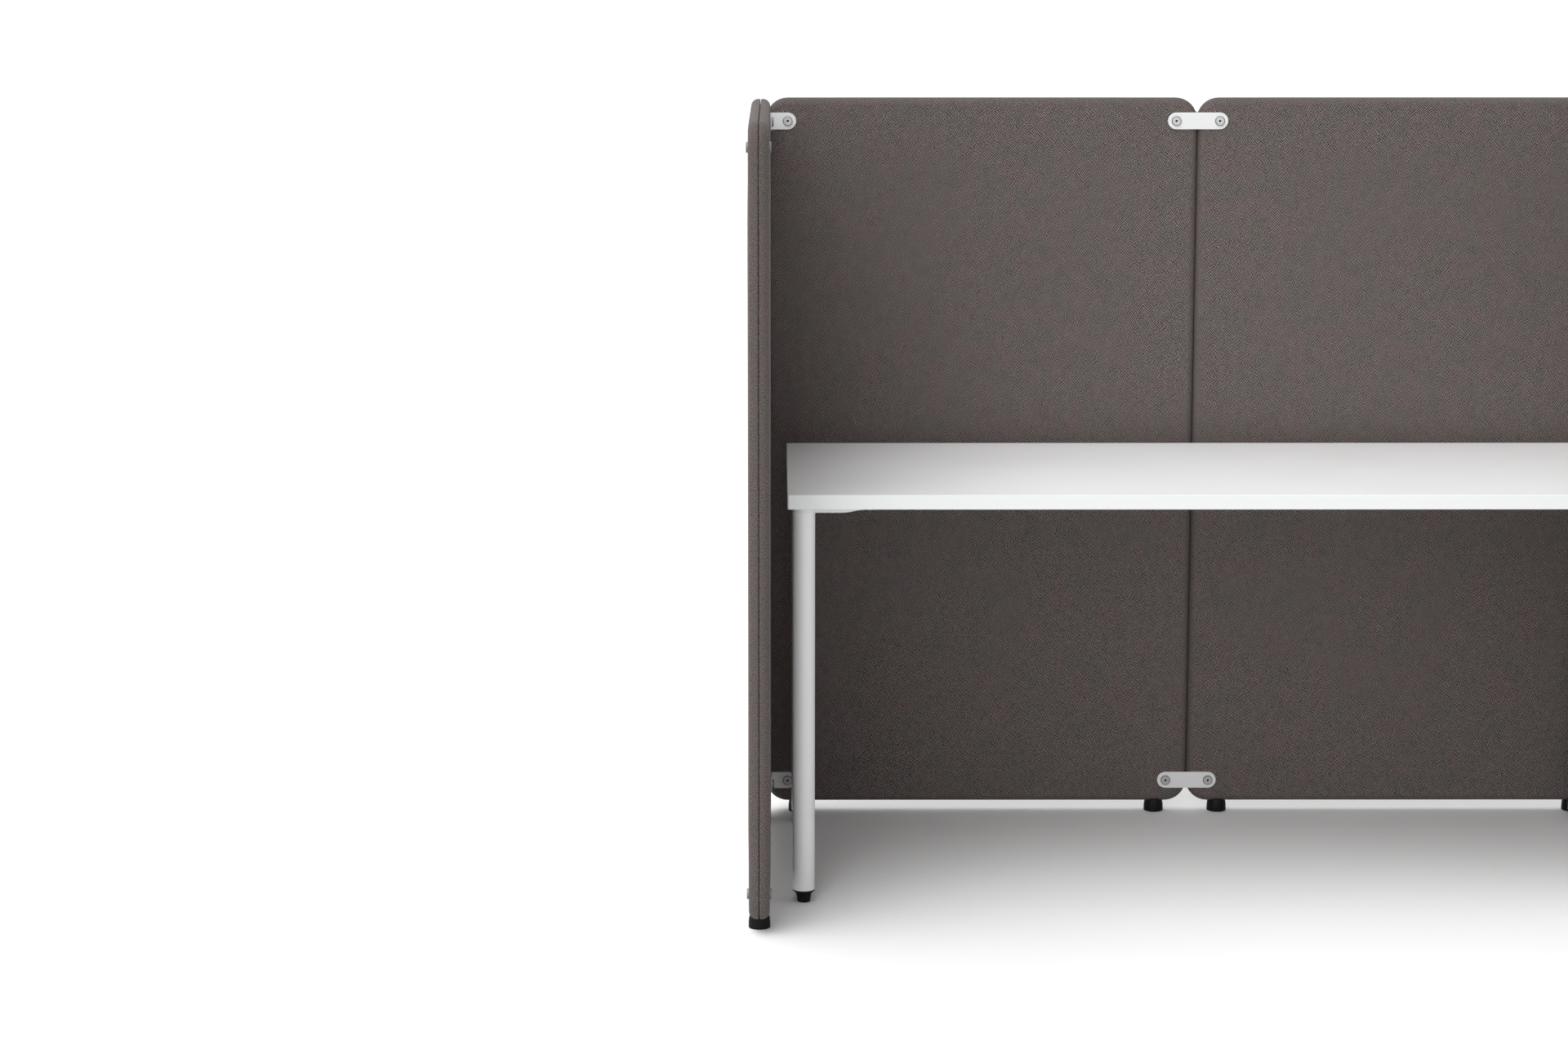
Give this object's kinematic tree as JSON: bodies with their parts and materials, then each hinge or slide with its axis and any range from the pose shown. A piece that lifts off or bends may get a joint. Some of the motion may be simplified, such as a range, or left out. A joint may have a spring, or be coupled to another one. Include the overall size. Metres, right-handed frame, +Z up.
{
  "type": "study carrel",
  "caption": "Free-standing study carrel: upholstered acoustic screens, linked by plates and corner angles, stand round a plain desk on round legs with levelling glides.",
  "frame": {"origin": "on the floor, at the middle of the whole bay's box", "axes": "+Z up, +X to the right along the back screens, +Y towards the back screens, away from the sitter"},
  "size_m": [1.6622, 0.8338, 1.36],
  "materials": {
    "screen_fabric": "matte",
    "core_board": "matte",
    "black_plastic": "matte",
    "white_plate": "satin",
    "screw_steel": "satin",
    "zinc_steel": "satin",
    "white_cast": "satin",
    "white_tube": "satin",
    "white_laminate": "satin",
    "white_edge": "satin"
  },
  "bodies": {
    "screens": {"back_left_core_board": "core_board", "back_left_foot_left": "black_plastic", "back_left_foot_right": "black_plastic", "back_left_inner_pad": "screen_fabric", "back_left_outer_pad": "screen_fabric", "back_right_core_board": "core_board", "back_right_foot_left": "black_plastic", "back_right_foot_right": "black_plastic", "back_right_inner_pad": "screen_fabric", "back_right_outer_pad": "screen_fabric", "corner_angle_left_bottom": "white_plate", "corner_angle_left_top": "white_plate", "corner_angle_right_bottom": "white_plate", "corner_angle_right_top": "white_plate", "foot_screws": "zinc_steel", "link_screws": "screw_steel", "seam_plate_front_bottom": "white_plate", "seam_plate_front_top": "white_plate", "seam_plate_rear_bottom": "white_plate", "seam_plate_rear_top": "white_plate", "sleeve_nuts": "screw_steel", "wing_left_core_board": "core_board", "wing_left_foot_front": "black_plastic", "wing_left_foot_rear": "black_plastic", "wing_left_inner_pad": "screen_fabric", "wing_left_outer_pad": "screen_fabric", "wing_right_core_board": "core_board", "wing_right_foot_front": "black_plastic", "wing_right_foot_rear": "black_plastic", "wing_right_inner_pad": "screen_fabric", "wing_right_outer_pad": "screen_fabric"},
    "desk": {"bracket_screws": "zinc_steel", "desk_backing": "white_laminate", "desk_board": "core_board", "desk_edge_band": "white_edge", "desk_laminate": "white_laminate", "leg_bracket_front_left": "white_cast", "leg_bracket_front_right": "white_cast", "leg_bracket_rear_left": "white_cast", "leg_bracket_rear_right": "white_cast", "leg_front_left": "white_tube", "leg_front_right": "white_tube", "leg_insert_front_left": "black_plastic", "leg_insert_front_right": "black_plastic", "leg_insert_rear_left": "black_plastic", "leg_insert_rear_right": "black_plastic", "leg_rear_left": "white_tube", "leg_rear_right": "white_tube"},
    "glide_front_left": {"glide_pad_front_left": "black_plastic", "glide_stem_front_left": "zinc_steel"},
    "glide_front_right": {"glide_pad_front_right": "black_plastic", "glide_stem_front_right": "zinc_steel"},
    "glide_rear_left": {"glide_pad_rear_left": "black_plastic", "glide_stem_rear_left": "zinc_steel"},
    "glide_rear_right": {"glide_pad_rear_right": "black_plastic", "glide_stem_rear_right": "zinc_steel"}
  },
  "joints": [
    {"name": "desk_slide", "type": "slide", "parent": "screens", "child": "desk", "axis": [0, -1, 0], "range_m": [-0.03, 0.6]},
    {"name": "glide_front_left_thread", "type": "slide", "parent": "desk", "child": "glide_front_left", "axis": [0, 0, -1], "range_m": [0, 0.015]},
    {"name": "glide_front_right_thread", "type": "slide", "parent": "desk", "child": "glide_front_right", "axis": [0, 0, -1], "range_m": [0, 0.015]},
    {"name": "glide_rear_left_thread", "type": "slide", "parent": "desk", "child": "glide_rear_left", "axis": [0, 0, -1], "range_m": [0, 0.015]},
    {"name": "glide_rear_right_thread", "type": "slide", "parent": "desk", "child": "glide_rear_right", "axis": [0, 0, -1], "range_m": [0, 0.015]}
  ]
}
